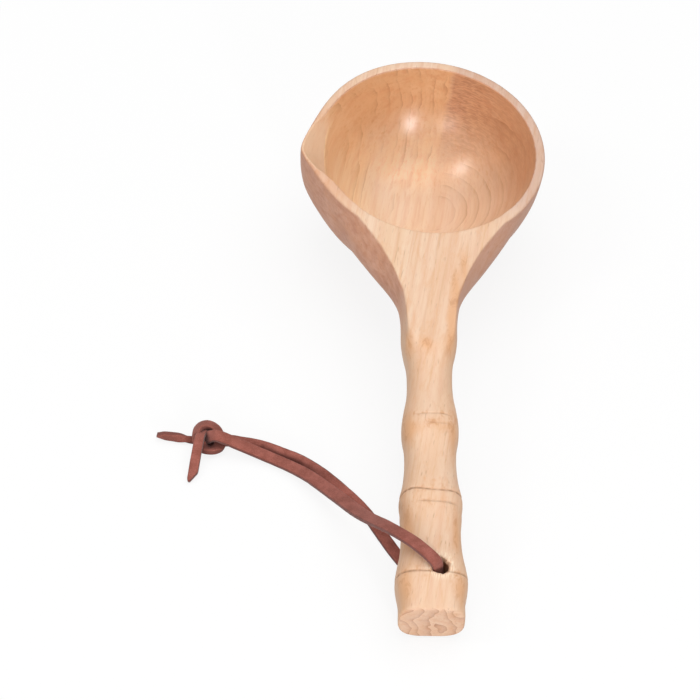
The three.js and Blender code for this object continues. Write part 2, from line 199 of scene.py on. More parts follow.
# Colours of the wood and its marks
WOOD = {
    "warm": (0.82, 0.54, 0.345),
    "pale": (0.88, 0.64, 0.46),
    "vein": (0.79, 0.48, 0.31),
    "right": (0.80, 0.48, 0.32),
    "streak": (0.74, 0.42, 0.23),
    "fine_ring": (0.55, 0.29, 0.15),
    "ring": (0.52, 0.27, 0.14),
    "fibre_dark": (0.40, 0.40, 0.40),
    "fibre_light": (0.63, 0.63, 0.63),
    "fleck": (0.45, 0.24, 0.13),
    "curl": (0.50, 0.26, 0.15),
    "mottle": (0.78, 0.44, 0.24),
    "amber": (0.78, 0.42, 0.215),
    "dark_amber": (0.66, 0.32, 0.15),
    "lip": (0.84, 0.54, 0.34),
    "flank": (0.80, 0.49, 0.28),
    "frayed": (0.95, 0.74, 0.54),
    # Painted shade in the knife lines
    "cut": (0.28, 0.13, 0.06),
    "hole": (0.50, 0.26, 0.13),
}

# Tints that the wood's colour is multiplied by, including painted light and shade
TINT = {
    # Painted light on the bowl's floor, stronger towards the far side and a little weaker over the darker
    # wood on the right
    "near_floor_light": (1.08, 1.16, 1.21),
    "far_floor_light": (1.31, 1.33, 1.26),
    "right_floor_light": (0.96, 0.94, 0.93),
    # Painted light on the near left of the bowl's inside
    "left_side_light": (1.14, 1.14, 1.03),
    # Painted shade on the bowl's steep walls; on the right it also deepens the darker wood's own tone
    "pale_wall_shade": (0.88, 0.69, 0.50),
    "right_wall_tone_and_shade": (0.74, 0.55, 0.43),
    "near_rim": (0.93, 0.80, 0.76),
    "far_rim": (0.97, 0.97, 1.01),
    "right_rim": (0.83, 0.82, 0.90),
    # Painted shade on the outside of the bowl and neck, with the grain's veins in it and the darker wood on
    # the right
    "outer_shade": (0.83, 0.63, 0.60),
    "outer_vein": (0.75, 0.55, 0.52),
    "right_outer": (0.80, 0.66, 0.67),
    # Painted light on the sawn end; the bands and rings after it are the wood's own
    "end": (1.09, 1.10, 1.14),
    "end_band": (0.91, 0.87, 0.86),
    "end_ring": (0.84, 0.76, 0.74),
}

# Colours of the leather
LEATHER = {
    "dark": (0.265, 0.078, 0.055),
    "light": (0.375, 0.12, 0.09),
    "nap_light": (0.46, 0.18, 0.145),
    "nap_dark": (0.15, 0.04, 0.03),
    "cut_edge": (0.15, 0.05, 0.04),
    "crease_shade": (0.075, 0.02, 0.016),
}

# Studio: the floor as it is seen and as it lights the ladle, and the world's light
WHITE = (1.0, 1.0, 1.0)
FLOOR_HALF = 3.0
FLOOR_SEEN = (0.97, 0.97, 0.97)
FLOOR_BOUNCE = (0.34, 0.32, 0.32)
WORLD_LIGHT = 0.36

# Lamps: name, place, what it points at, size and power
LAMPS = (
    ("overhead", (0.32, 0.36, 1.6), (0, 0, 0), (1.8, 1.8), 17.5),
    ("right_box", (0.36, -1.17, 0.30), (0, 0.12, 0.03), (0.12, 0.38), 5.2),
    ("front_left_box", (-0.57, -1.12, 0.28), (0, 0.12, 0.03), (0.35, 0.45), 3.3),
    ("left_box", (-0.88, -0.2, 1.07), (0, 0.12, 0.03), (0.16, 0.5), 2.8),
)

# Thong: a flat strip of leather, in millimetres
THONG_WIDTH = 4.8
THONG_THICK = 2.2
THONG_ROUND = 0.5
THONG_STEP = 0.8
THONG_CUP = 0.05
THONG_WOBBLE = 0.06
WOBBLE_SCALE = 400

# Route of the strand over the handle's flank, from inside the hole, through the knot, to its cut end
UPPER_ROUTE = (
    (4.9, -116.3, 15), (4.5, -117, 20), (4.2, -117.7, 25), (3.7, -117.5, 27.2), (2.2, -116.6, 28.7),
    (0.2, -115, 29.5), (-4, -111, 29.8), (-10.1, -105.6, 28.9), (-15.4, -99.7, 25.9),
    (-21.4, -91.8, 20.1), (-26.6, -83.8, 14.6), (-32.1, -75.4, 10.3), (-39.5, -65.5, 6.3),
    (-47, -57.2, 3.9), (-54.5, -51.4, 2.6), (-62, -47.2, 2.4), (-66.4, -45.3, 2.9),
    (-70.8, -43.7, 3.8), (-76, -42.3, 5.4), (-81.6, -41, 7.5), (-84.4, -40, 7.7), (-86.9, -38.9, 6.2),
    (-89.2, -38, 3.6), (-92, -37.4, 1.6), (-95.2, -37, 1.3), (-99.3, -36.6, 2), (-102.6, -36.2, 2.3),
    (-106, -35.7, 2.3), (-109.8, -35, 2.2),
)
UPPER_FACE = {
    0: (0.66, -0.75, 0), 2: (0.66, -0.75, 0.1), 3: (0.6, -0.6, 0.5), 5: (0, 0, 1), 18: (0, -0.1, 1),
    20: (0, -0.3, 1), 22: (-0.5, -0.5, 0.6), 24: (0, -0.2, 1), 25: (0, -0.8, 0.4), 26: (0.1, -1, 0),
    28: (0.1, -1, -0.15),
}

# Route of the strand on the table, from inside the hole, round the knot, to its cut end
LOWER_ROUTE = (
    (5.4, -116.3, 15), (5.4, -115.6, 10), (5.4, -114.9, 4.8), (4.6, -114, 2.4), (3, -112.3, 1.25),
    (0.6, -109.5, 1.1), (-4.6, -103.4, 1.1), (-10, -96, 1.1), (-16, -86, 1.1), (-21.6, -76.3, 1.1),
    (-27.1, -69, 1.4), (-31.2, -64.8, 2), (-36.2, -59.8, 2.4), (-41, -55.2, 2.5),
    (-46.6, -50.7, 2.5), (-51.9, -47.3, 2.5), (-57.5, -44.5, 2.3), (-62.6, -41.9, 2), (-69.1, -39.3, 1.5),
    (-75.7, -37.6, 1.2), (-79.8, -37.4, 1.7), (-82.6, -38.6, 2.7), (-84.2, -41.6, 2.4),
    (-87.2, -43.3, 2.4), (-90.3, -42.5, 3.0), (-92.4, -39.8, 4.4), (-92.8, -36.8, 5.6), (-92, -34.2, 6.2),
    (-89.2, -32.9, 6.3), (-86.1, -33.8, 5.5), (-84.3, -36.2, 4.4), (-84.0, -38.4, 2.3), (-86.2, -39.8, 1.4),
    (-88.8, -39.2, 1.2), (-90.6, -36.4, 1.4), (-89.6, -33.2, 2.2), (-89.4, -35.0, 4.4), (-90.8, -37.6, 5.9),
    (-91.5, -39.6, 6.7), (-91.8, -41.6, 6.7), (-92.2, -44.6, 6.1),
    (-92.8, -48.2, 4.4), (-93.4, -52.6, 2.7), (-94.1, -59.0, 1.3),
)
LOWER_FACE = {
    0: (-0.66, 0.75, 0), 2: (-0.66, 0.75, 0.1), 3: (-0.5, 0.5, 0.7), 5: (0, 0, 1), 9: (0, 0, 1),
    12: (-0.49, -0.42, 0.77), 15: (-0.31, -0.56, 0.77), 17: (-0.15, -0.47, 0.87), 19: (0, 0, 1),
    20: (0, -0.3, 0.95), 21: (0.4, -0.1, 0.9), 22: (0.4, 0.3, 0.85), 23: (0.1, 0.45, 0.9),
    24: (-0.3, 0.3, 0.9), 25: (-0.6, 0, 0.8), 26: (-0.7, 0, 0.75), 27: (-0.5, 0.3, 0.85),
    28: (0, 0.3, 0.95), 29: (0.4, 0.2, 0.9), 30: (0.6, -0.2, 0.75), 31: (0.5, 0.1, 0.85),
    32: (0.1, 0, 1), 34: (0, 0, 1), 35: (0, 0.5, 0.85), 36: (0.2, 0.75, 0.6), 37: (0, 0.4, 0.9),
    38: (0, 0.2, 1), 40: (0, 0, 1), 43: (0, -0.1, 1),
}

# Widening of the upper strand, in millimetres from inside the hole, and its leaf-shaped end
UPPER_SWELL = {"from": 35.0, "over": 75.0, "by": 0.35}
LEAF = {"length": 18.0, "blade": 12.0, "stem": 1.45, "swell": 0.65}

# Narrower end of the lower strand and its pinch inside the knot, in millimetres from its cut end
TAIL = {"from": 30.0, "to": 24.0, "half": 2.0, "cut": 4.2}
PINCH = {"place": 26.5, "spread": 4.0, "share": 0.4}

# Rays that find the creases between leather and leather, where shade is painted on the thong
CREASE_SHADE = {"rays": 40, "reach": 5.0, "lift": 0.3, "slope": 0.2}


def clear_scene():
    """Removes what Blender starts with, and nothing of the frame."""
    for name in ("Cube", "Light", "Camera"):
        obj = bpy.data.objects.get(name)
        if obj:
            bpy.data.objects.remove(obj)


def make_camera():
    az, el = CAMERA_AZIMUTH, CAMERA_ELEVATION
    ahead = Vector((-math.sin(az) * math.cos(el), math.cos(az) * math.cos(el), -math.sin(el)))
    level = Vector((math.cos(az), math.sin(az), 0))
    up = level.cross(ahead)
    right = level * math.cos(CAMERA_ROLL) + up * math.sin(CAMERA_ROLL)
    up = right.cross(ahead)
    data = bpy.data.cameras.new("camera")
    data.sensor_fit = "HORIZONTAL"
    data.sensor_width = SENSOR
    data.lens = CAMERA_LENS
    data.clip_end = 20
    camera = bpy.data.objects.new("camera", data)
    camera.matrix_world = Matrix((
        (right.x, up.x, -ahead.x, CAMERA_PLACE.x),
        (right.y, up.y, -ahead.y, CAMERA_PLACE.y),
        (right.z, up.z, -ahead.z, CAMERA_PLACE.z),
        (0, 0, 0, 1),
    ))
    bpy.context.collection.objects.link(camera)
    bpy.context.scene.camera = camera


# Shapes shared by all pieces

def new_object(name, vertices, faces):
    mesh = bpy.data.meshes.new(name)
    mesh.from_pydata([tuple(v) for v in vertices], [], faces)
    mesh.validate()
    mesh.update()
    obj = bpy.data.objects.new(name, mesh)
    bpy.context.collection.objects.link(obj)
    return obj


def recalc_outside(obj):
    bm = bmesh.new()
    bm.from_mesh(obj.data)
    bmesh.ops.recalc_face_normals(bm, faces=bm.faces)
    bm.to_mesh(obj.data)
    bm.free()


def loft(name, rings):
    """Closed mesh over rings of the same number of points."""
    count = rings.shape[1]
    faces = []
    for i in range(len(rings) - 1):
        for j in range(count):
            a, b = i * count + j, i * count + (j + 1) % count
            faces.append((a, b, b + count, a + count))
    faces.append(tuple(range(count))[::-1])
    last = (len(rings) - 1) * count
    faces.append(tuple(range(last, last + count)))
    obj = new_object(name, rings.reshape(-1, 3), faces)
    recalc_outside(obj)
    return obj


def shade_smooth(obj):
    obj.data.polygons.foreach_set("use_smooth", [True] * len(obj.data.polygons))


def set_mark(obj, name, values):
    """Puts a share on each point, which the material reads."""
    obj.data.attributes.new(name, "FLOAT", "POINT").data.foreach_set("value", values)


def smooth_through(points, keys, places):
    """Smooth curve through points at rising keys, read at places. The keys may be uneven."""
    points = np.asarray(points, float)
    keys = np.asarray(keys, float)
    steps = np.diff(keys)
    chords = np.diff(points, axis=0) / steps[:, None]
    slopes = np.empty_like(points)
    slopes[0], slopes[-1] = chords[0], chords[-1]
    before, after = steps[:-1, None], steps[1:, None]
    slopes[1:-1] = (chords[:-1] * after + chords[1:] * before) / (before + after)
    i = np.clip(np.searchsorted(keys, places) - 1, 0, len(steps) - 1)
    h = steps[i][:, None]
    t = ((places - keys[i]) / steps[i])[:, None]
    start = (1 + 2 * t) * (1 - t) ** 2 * points[i] + t * (1 - t) ** 2 * h * slopes[i]
    end = t * t * (3 - 2 * t) * points[i + 1] + t * t * (t - 1) * h * slopes[i + 1]
    return start + end


# Thong

def strip_line(route, face, step, samples=2000):
    """Evenly spaced points on a route, in metres, with the strip's direction and face at each."""
    points = np.array(route) * MM
    keys = np.concatenate(([0], np.cumsum(np.linalg.norm(np.diff(points, axis=0), axis=1))))
    fine = np.linspace(0, keys[-1], samples)
    line = smooth_through(points, keys, fine)
    length = np.concatenate(([0], np.cumsum(np.linalg.norm(np.diff(line, axis=0), axis=1))))
    count = int(round(length[-1] / step)) + 1
    places = np.interp(np.linspace(0, length[-1], count), length, fine)
    line = smooth_through(points, keys, places)
    ahead = np.gradient(line, axis=0)
    ahead /= np.linalg.norm(ahead, axis=1)[:, None]
    marks = sorted(face)
    hints = np.array([face[m] for m in marks], float)
    hints /= np.linalg.norm(hints, axis=1)[:, None]
    up = np.stack([np.interp(places, keys[marks], hints[:, k]) for k in range(3)], axis=1)
    up -= ahead * np.sum(up * ahead, axis=1)[:, None]
    up /= np.linalg.norm(up, axis=1)[:, None]
    return line, ahead, up, length[-1]


def strip_section():
    """Points of a rounded rectangle: the signs of each one's corner, and its direction from there."""
    points = []
    for sx, sy, start in ((1, 1, 0), (-1, 1, 90), (-1, -1, 180), (1, -1, 270)):
        for k in range(4):
            angle = math.radians(start + 30 * k)
            points.append((sx, sy, math.cos(angle), math.sin(angle)))
    return points


def make_strip(name, route, face, width_at):
    """Closed leather strip along a route. width_at gives its left and right half widths at each place."""
    line, ahead, up, length = strip_line(route, face, THONG_STEP * MM)
    section = strip_section()
    side = np.cross(ahead, up)
    vertices = []
    edge_shade = []
    spots = np.linspace(0, length, len(line))
    for k, centre in enumerate(line):
        left, right = width_at(spots[k], length)
        wobble = THONG_WOBBLE * MM * noise.noise(Vector(centre) * WOBBLE_SCALE)
        for sx, sy, cx, cy in section:
            half = (right if sx > 0 else left) * MM
            x = sx * (half - THONG_ROUND * MM) + cx * THONG_ROUND * MM
            y = sy * (THONG_THICK / 2 - THONG_ROUND) * MM + cy * THONG_ROUND * MM
            cup = THONG_CUP * MM * (1 - (x / (THONG_WIDTH / 2 * MM)) ** 2)
            vertices.append(centre + side[k] * (x + wobble * sx) + up[k] * (y + cup))
            edge_shade.append(abs(cx) ** 2)
    obj = loft(name, np.array(vertices).reshape(len(line), len(section), 3))
    set_mark(obj, "cut_edge", edge_shade)
    shade_smooth(obj)
    return obj, [tuple(p) for p in line[::3]] + [tuple(line[-1])], length


def upper_width(spot, length):
    """Half widths of the upper strand: wider on its way to the knot, with a narrow leaf-shaped end."""
    rest = (length - spot) / MM
    swell = (spot / MM - UPPER_SWELL["from"]) / UPPER_SWELL["over"]
    half = THONG_WIDTH / 2 + UPPER_SWELL["by"] * max(0, math.sin(math.pi * max(0, min(1, swell))))
    if rest < LEAF["length"]:
        half = LEAF["stem"] + LEAF["swell"] * math.sin(math.pi * min(rest, LEAF["blade"]) / LEAF["blade"])
    left_tip = max(0.5, min(1.0, 0.5 + rest / 6))
    right_tip = min(1.0, 0.35 + rest / 4)
    return half * left_tip, half * right_tip


def lower_width(spot, length):
    """Half widths of the lower strand: pinched in the knot, its end narrower and cut slantwise."""
    rest = (length - spot) / MM
    half = THONG_WIDTH / 2
    if rest < TAIL["from"]:
        taper = max(0, (rest - TAIL["to"]) / (TAIL["from"] - TAIL["to"]))
        half = TAIL["half"] + (half - TAIL["half"]) * taper
    half *= 1 - PINCH["share"] * math.exp(-(((rest - PINCH["place"]) / PINCH["spread"]) ** 2))
    left_tip = max(-0.3, min(1.0, 1.3 * rest / TAIL["cut"] - 0.3))
    right_tip = min(1.0, 0.8 + rest / 5)
    return half * left_tip, half * right_tip


def even_ways(count):
    """Directions spread evenly over a sphere."""
    golden = math.pi * (3 - math.sqrt(5))
    ways = []
    for k in range(count):
        z = 1 - (2 * k + 1) / count
        level = Vector((math.cos(golden * k), math.sin(golden * k), 0)) * math.sqrt(1 - z * z)
        ways.append(level + Vector((0, 0, z)))
    return ways


def mark_creases(strips):
    """Marks each point of the strips by how much of its outlook other leather takes up close by, for the
    shade painted in the creases.
    """
    trees = []
    for strip in strips:
        corners = [v.co for v in strip.data.vertices]
        trees.append(BVHTree.FromPolygons(corners, [p.vertices for p in strip.data.polygons]))
    outlook = even_ways(CREASE_SHADE["rays"])
    reach = CREASE_SHADE["reach"] * MM
    for strip in strips:
        closed = []
        for vertex in strip.data.vertices:
            start = vertex.co + vertex.normal * CREASE_SHADE["lift"] * MM
            ways = [way for way in outlook if way.dot(vertex.normal) > CREASE_SHADE["slope"]]
            hits = [way for way in ways if any(tree.ray_cast(start, way, reach)[0] for tree in trees)]
            closed.append(len(hits) / len(ways))
        set_mark(strip, "crease_shade", closed)


def make_thong():
    upper, upper_path, upper_length = make_strip("thong_upper", UPPER_ROUTE, UPPER_FACE, upper_width)
    lower, lower_path, lower_length = make_strip("thong_lower", LOWER_ROUTE, LOWER_FACE, lower_width)
    mark_creases((upper, lower))
    leather = leather_material()
    for obj in (upper, lower):
        obj.data.materials.append(leather)
        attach(obj, "lanyard")
    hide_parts("thong_bore", "thong_upper_strand", "thong_tail_left")
    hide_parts("thong_lower_strand", "thong_knot", "thong_tail_down")


# Ladle body, made in its own frame in millimetres

def along(stations, y):
    """Values of a row of stations, read at places along the handle."""
    keys = [-place for place, value in stations]
    values = [[value] for place, value in stations]
    return smooth_through(values, keys, -np.atleast_1d(np.asarray(y, float)))[:, 0]


def ramp(values, start, end):
    """Share that goes from 0 at start to 1 at end."""
    return np.clip((values - start) / (end - start), 0, 1)


def from_lip(angle):
    """Angle around the bowl from the lip, counted in spreads of the lip."""
    turn = np.arctan2(np.sin(angle - LIP_ANGLE), np.cos(angle - LIP_ANGLE))
    return turn / LIP_SPREAD


def lip_shape(angle):
    """Share of the lip's full reach."""
    return np.exp(-np.abs(from_lip(angle)) ** LIP_POWER)


def rim_wall(angle):
    """Thickness of the rim, thin at the lip and thicker beside it."""
    turn = from_lip(angle)
    thinner = (RIM_WALL - LIP_WALL) * np.exp(-((turn / LIP_THIN) ** 2))
    thicker = RIM_EXTRA["by"] * np.exp(-(((turn - RIM_EXTRA["place"]) / RIM_EXTRA["spread"]) ** 2))
    return RIM_WALL + thicker - thinner


def lip_edge(degrees):
    """Radius of the rim's inner edge and depth of the hollow below it, by degrees from the lip's middle."""
    keys = [row[0] for row in LIP_HOLLOW]
    values = [row[1:] for row in LIP_HOLLOW]
    return smooth_through(values, keys, np.clip(degrees, keys[0], keys[-1])).T


def full_turn(count):
    return np.linspace(0, 2 * math.pi, count, endpoint=False)[None, :]


def polar(radius, angle, z):
    return np.stack((radius * np.cos(angle), radius * np.sin(angle), z + 0 * angle), axis=2)


def bowl_outside(around=288, belly_rings=40, round_rings=6):
    inside = RIM_RADIUS - RIM_WALL
    foot_turn = math.acos((FOOT_RADIUS / RIM_RADIUS) ** (BELLY / 2))
    reach = (BOWL_HEIGHT - RIM_ROUND) / math.sin(foot_turn) ** (2 / BELLY)
    turn = foot_turn * (1 - np.linspace(0, 1, belly_rings + 1))
    belly_r = RIM_RADIUS * np.cos(turn) ** (2 / BELLY)
    belly_z = -RIM_ROUND - reach * np.sin(turn) ** (2 / BELLY)
    turn = math.pi / 2 * np.linspace(0, 1, round_rings + 1)[1:]
    r = np.concatenate((belly_r, RIM_RADIUS - RIM_ROUND * (1 - np.cos(turn))))[:, None]
    z = np.concatenate((belly_z, -RIM_ROUND * (1 - np.sin(turn))))[:, None]
    angle = full_turn(around)
    bulge = inside + LIP_REACH * lip_shape(angle) + rim_wall(angle) - RIM_RADIUS
    radius = r + bulge * (1 - (z / BOWL_HEIGHT) ** 2)
    return loft("bowl_outside", polar(radius, angle, z))


def bowl_inside(around=288, count=44):
    inside = RIM_RADIUS - RIM_WALL
    turn = INSIDE_END * (1 - np.linspace(0, 1, count + 1))
    r = np.concatenate((inside * np.cos(turn), [inside]))[:, None]
    z = np.concatenate((-BOWL_INSIDE * np.sin(turn), [RIM_WALL]))[:, None]
    angle = full_turn(around)
    return loft("bowl_inside", polar(r, angle, z))


def lip_hollow(steps=8, degree_step=0.75, inner_radius=25.0, above=6.0, clear=0.05):
    """What is hollowed out at the pouring lip and along the rim behind it."""
    degrees = np.arange(LIP_HOLLOW[0][0], LIP_HOLLOW[-1][0] + 0.1, degree_step)
    edge, depth = lip_edge(degrees)[:, :, None]
    foot = (RIM_RADIUS - RIM_WALL) * np.sqrt(1 - (depth / BOWL_INSIDE) ** 2) - clear
    share = np.linspace(0, 1, steps)[None, :]
    inner = 0 * edge + inner_radius
    top = 0 * edge + above
    r = np.concatenate((inner, edge, edge + (foot - edge) * share, inner), axis=1)
    z = np.concatenate((top, top, -depth * share, -depth), axis=1)
    angle = LIP_ANGLE + np.radians(degrees)[:, None]
    return loft("lip_hollow", polar(r, angle, z))


def handle(points=120, step=1.0):
    """Neck and handle before the flat land is carved, as superellipse sections along the stations."""
    stations = np.arange(HANDLE_START, HANDLE_END + END_EDGE, -step)
    y = np.concatenate((stations, [HANDLE_END + END_EDGE, HANDLE_END]))
    shrink = np.where(y <= HANDLE_END, END_EDGE, 0.0)[:, None]
    t = full_turn(points)
    width = along(WIDTH, y)[:, None] - shrink
    waist = along(WAIST, y)[:, None]
    crown = along(CROWN, y)[:, None] - shrink
    under = along(UNDERSIDE, y)[:, None] + shrink
    power = 2 / along(SQUARE, y)[:, None]
    height = np.where(np.sin(t) > 0, crown - waist, waist - under)
    x = width * np.sign(np.cos(t)) * np.abs(np.cos(t)) ** power
    z = waist + height * np.sign(np.sin(t)) * np.abs(np.sin(t)) ** power
    rings = np.stack((x, y[:, None] + 0 * t, np.minimum(z, 0)), axis=2)
    return loft("handle", rings)


def beside_land(side, points=9, step=1.0):
    """What is carved away beside the land, so that its edge is crisp and the flank spreads below it."""
    y = np.arange(LAND[0][0], LAND[-1][0] - 0.1, -step)
    half = along(LAND, y)[:, None]
    spread = np.maximum(0, along(WIDTH, y)[:, None] - half) + FLANK_CLEAR
    depth = np.linspace(0, 1, points)[None, :]
    out = half + spread * depth * (1 + FLANK_BOW - FLANK_BOW * depth)
    down = -FLANK_HEIGHT * depth + 0 * half
    top = FLANK_HEIGHT + 0 * half
    far = half + FLANK_REACH
    x = side * np.concatenate((half, out, far, far), axis=1)
    z = np.concatenate((top, down, down[:, -1:], top), axis=1)
    return loft("beside_land", np.stack((x, y[:, None] + 0 * x, z), axis=2))


def hole_tool(name, ends, points=64):
    """Round tool on the hole's axis, from the height and radius of each end."""
    z, radius = np.array(ends).T[:, :, None]
    rings = polar(radius, full_turn(points), z)
    return loft(name, rings + np.array((HOLE["x"], HOLE["y"], 0)))


def modify(obj, kind, **settings):
    modifier = obj.modifiers.new(kind.lower(), kind)
    for name, value in settings.items():
        setattr(modifier, name, value)


def apply_modifiers(obj):
    """Keeps the shape that the modifiers give, and removes them."""
    shaped = obj.evaluated_get(bpy.context.evaluated_depsgraph_get())
    mesh = bpy.data.meshes.new_from_object(shaped)
    obj.modifiers.clear()
    obj.data = mesh


def carve(obj, operation, *tools):
    for tool in tools:
        modify(obj, "BOOLEAN", operation=operation, object=tool, solver="EXACT")
        apply_modifiers(obj)
        bpy.data.objects.remove(tool)


def carved_blank():
    """Bowl, neck and handle as one sanded piece, with edges rounded as by hand."""
    neck = handle()
    carve(neck, "DIFFERENCE", beside_land(-1), beside_land(1))
    body = bowl_outside()
    carve(body, "UNION", neck)
    hole = (hole_tool("bore", BORE_ENDS), hole_tool("worn_mouth", MOUTH_ENDS))
    carve(body, "DIFFERENCE", bowl_inside(), lip_hollow(), *hole)
    modify(body, "REMESH", mode="VOXEL", voxel_size=VOXEL)
    modify(body, "SMOOTH", factor=0.5, iterations=3)
    apply_modifiers(body)
    blend_neck(body)
    return body


def point_values(obj, kind):
    """Places or normals of all points, one row each."""
    values = np.empty(len(obj.data.vertices) * 3)
    obj.data.vertices.foreach_get(kind, values)
    return values.reshape(-1, 3)


def set_coordinates(obj, values):
    obj.data.vertices.foreach_set("co", values.ravel())
    obj.data.update()


def blend_neck(body):
    """Lets the neck's flanks flow into the bowl without a crease, and softens the land's lower end."""
    x, y, z = point_values(body, "co").T
    near = np.minimum(1, 2 * ramp(np.abs(y - NECK["y"]), NECK["reach"], 0))
    flank = near * ramp(z, NECK["from"], NECK["to"]) * (np.hypot(x, y) > NECK["radius"])
    top = ramp(np.abs(y - LAND_END["y"]), LAND_END["reach"], LAND_END["core"])
    top = top * ramp(z, LAND_END["from"], LAND_END["to"])
    weight = np.maximum(flank, top)
    group = body.vertex_groups.new(name="blend")
    for i in np.nonzero(weight > 0.02)[0]:
        group.add([int(i)], float(weight[i]), "REPLACE")
    modify(body, "SMOOTH", factor=0.5, iterations=60, vertex_group="blend")
    apply_modifiers(body)
    body.vertex_groups.clear()


def refine(obj, wanted, times):
    """Splits the faces around the vertices that are wanted."""
    bm = bmesh.new()
    bm.from_mesh(obj.data)
    for _ in range(times):
        chosen = [e for e in bm.edges if wanted(e.verts[0].co) and wanted(e.verts[1].co)]
        bmesh.ops.subdivide_edges(bm, edges=chosen, cuts=1, use_grid_fill=True)
    bm.to_mesh(obj.data)
    bm.free()


def near_detail(co):
    """Where the mesh has to be finer: at the knife lines and around the upper end of the hole."""
    if any(abs(co.y - groove["y"]) < FINE_MESH["groove"] for groove in GROOVES):
        return True
    from_hole = math.hypot(co.x - HOLE["x"], co.y - HOLE["y"]) - HOLE["radius"]
    return from_hole < FINE_MESH["hole"] and co.z > FINE_MESH["lowest"]


def cut_grooves(body):
    """Wandering knife lines on the nodes, and chips at the hole. Gives back how much painted shade each
    point gets in the lines.
    """
    refine(body, near_detail, 2)
    p = point_values(body, "co")
    normals = point_values(body, "normal")
    depth = np.zeros(len(p))
    dark = np.zeros(len(p))
    side = p[:, 0] / along(WIDTH, np.clip(p[:, 1], HANDLE_END, HANDLE_START))
    for number, groove in enumerate(GROOVES):
        close = (np.abs(p[:, 1] - groove["y"]) < GROOVE_REACH) & (p[:, 2] >= GROOVE_LOWEST)
        for i in np.nonzero(close)[0]:
            place = Vector((p[i, 0] * WANDER_SCALE, p[i, 2] * WANDER_SCALE, number * WANDER_STEP))
            line = groove["y"] + groove["wander"] * noise.noise(place)
            ends = min(1, max(0, 4 * (side[i] - groove["from"])), max(0, 4 * (groove["to"] - side[i])))
            ripple = 0.75 + 0.5 * noise.noise(place * 5)
            share = ends * ripple * math.exp(-((p[i, 1] - line) / GROOVE_HALF) ** 2)
            depth[i] += groove["depth"] * share
            dark[i] = max(dark[i], groove["dark"] * share * (0.75 + 0.45 * min(1, abs(side[i]))))
    from_hole = np.hypot(p[:, 0] - HOLE["x"], p[:, 1] - HOLE["y"]) - HOLE["radius"]
    for i in np.nonzero((np.abs(from_hole) < CHIP["reach"]) & (p[:, 2] > CHIP["lowest"]))[0]:
        place = Vector(p[i])
        chip = noise.noise(place * CHIP["scale"]) + 0.3 * noise.noise(place * CHIP["fine_scale"])
        depth[i] += CHIP["depth"] * chip * math.exp(-((from_hole[i] / CHIP["half"]) ** 2))
    set_coordinates(body, p - normals * depth[:, None])
    return dark


def surface_marks(body, dark):
    """Shares on each point for the finish and for the painted light and shade, such as the lacquered
    inside, the sawn end and the cut lines.
    """
    p = point_values(body, "co")
    x, y, z = p.T
    normals = point_values(body, "normal")
    up = normals[:, 2]
    reach = np.hypot(x, y)
    level = np.sqrt((reach / (RIM_RADIUS - RIM_WALL)) ** 2 + (np.minimum(z, 0) / BOWL_INSIDE) ** 2)
    inward = np.sum(normals[:, :2] * p[:, :2], axis=1) < 0.15 * reach
    turn = np.degrees(LIP_SPREAD * from_lip(np.arctan2(y, x)))
    edge, depth = lip_edge(turn)

    # The lacquered inside goes on over the hollow behind the lip, and the lip itself is bare
    below = ramp(z, -0.45, -0.75)
    lip = inward * (level > 1.012) * (reach < edge + 0.6) * (z > -depth) * (up > 0.15)
    lip = lip * ramp(np.abs(turn), 26.4, 14.4)
    hollow = inward * (reach < edge + 0.3) * (level > 1) * (np.abs(turn + 50) < 85) * (z > -12)
    bowl = np.maximum(ramp(level, 1.03, 1.01), hollow) * below * (1 - lip)
    bare = (1 - bowl) * (1 - lip)
    end = ramp(y, HANDLE_END + 0.7, HANDLE_END + 0.2)
    from_hole = np.hypot(x - HOLE["x"], y - HOLE["y"]) - HOLE["radius"]
    marks = {
        "bowl": bowl,
        # Steep walls of the bowl, for their painted shade and for the curl of the grain
        "wall": bowl * ramp(up, 0.84, 0.40),
        "gloss": bowl * ramp(up, 0.95, 0.81),
        "rim": bare * (z > -1.5) * (up > 0.5) * ramp(y, -40, -26),
        "flank": (1 - end) * ramp(up, 0.85, 0.35) * ramp(y, -95, -107),
        # Where shade is painted on the steep and downward-facing outside of the bowl and neck
        "outer_shade": bare * ramp(up, 0.72, 0.42) * ramp(y, -100, -75),
        "lip": lip,
        "node": np.max([np.exp(-((y - groove["y"]) / 3.0) ** 2) for groove in GROOVES], axis=0),
        "end": end,
        # Painted shade in the knife lines, as cut_grooves gives it
        "cut": dark,
        "hole": ramp(from_hole, 0.35, 0.05) * (z < -1.2),
        "frayed": np.exp(-((from_hole - 1.2) / 1.6) ** 2) * (z > -3),
    }
    for name, values in marks.items():
        set_mark(body, name, values)


def lean(p):
    """The top face leans a little to the right while the underside stays level."""
    x, y, z = p.T.copy()
    share = ramp(z, -LEAN_FADE, 0)
    t = ramp(y, *LEAN_NECK)
    bowl_share = t * t * (3 - 2 * t)
    level = z - LEAN_HEIGHT
    shift = TOP_SLOPE * np.where(level > 0, level, level * bowl_share)
    return np.stack((x + shift, y, z - TOP_SLOPE * x * share), axis=1)


def make_body():
    body = carved_blank()
    body.name = "ladle_wood"
    dark = cut_grooves(body)
    surface_marks(body, dark)
    p = lean(point_values(body, "co"))
    turn = np.array(Matrix.Rotation(REST_TILT, 3, "X"))
    set_coordinates(body, (p @ turn.T + np.array(REST_PLACE)) * MM)
    shade_smooth(body)
    body.data.materials.clear()
    body.data.materials.append(wood_material())
    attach(body, "ladle")
    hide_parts("ladle_body")


# Materials

def opaque(colour):
    """A row of red, green and blue with full alpha. A socket stays as it is."""
    return (*colour, 1.0) if isinstance(colour, tuple) else colour


